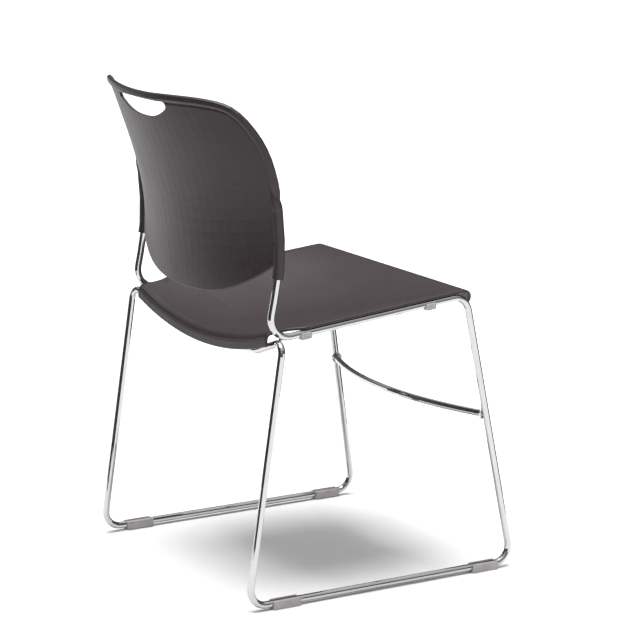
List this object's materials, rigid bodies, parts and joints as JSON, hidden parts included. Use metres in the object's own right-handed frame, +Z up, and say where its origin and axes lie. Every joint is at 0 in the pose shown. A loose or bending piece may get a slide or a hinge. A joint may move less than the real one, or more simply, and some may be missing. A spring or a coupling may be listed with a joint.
{
  "type": "stacking chair",
  "caption": "Armless sled-base stacking chair: dished moulded seat, wrapped moulded back with a hand-hold slot and side sleeves, and a bent solid-rod frame on clip-on glides.",
  "frame": {"origin": "centre of the chair's overall box, at floor level", "axes": "+Z up, the chair faces -Y, +X is the sitter's left"},
  "size_m": [0.4872, 0.5498, 0.7673],
  "materials": {
    "back_shell": "charcoal, fine moulded grain",
    "seat_shell": "charcoal, fine moulded grain",
    "rod": "bright plated",
    "weld": "plated over the bead",
    "glide": "milky, slightly translucent",
    "bumper": "milky, slightly translucent",
    "fixing": "satin"
  },
  "bodies": {
    "root": {"back_shell": "back_shell", "bumper_front_left": "bumper", "bumper_front_right": "bumper", "bumper_rear_left": "bumper", "bumper_rear_right": "bumper", "crossbar_joint": "weld", "crossbar_weld_left": "weld", "crossbar_weld_right": "weld", "front_stretcher": "rod", "glide_front_left": "glide", "glide_front_right": "glide", "glide_rear_left": "glide", "glide_rear_right": "glide", "seat_screw_front_left": "fixing", "seat_screw_front_right": "fixing", "seat_screw_rear_left": "fixing", "seat_screw_rear_right": "fixing", "seat_shell": "seat_shell", "seat_tab_front_left": "fixing", "seat_tab_front_right": "fixing", "seat_tab_rear_left": "fixing", "seat_tab_rear_right": "fixing", "side_rod_left": "rod", "side_rod_right": "rod", "stretcher_weld_left": "weld", "stretcher_weld_right": "weld"}
  },
  "joints": []
}
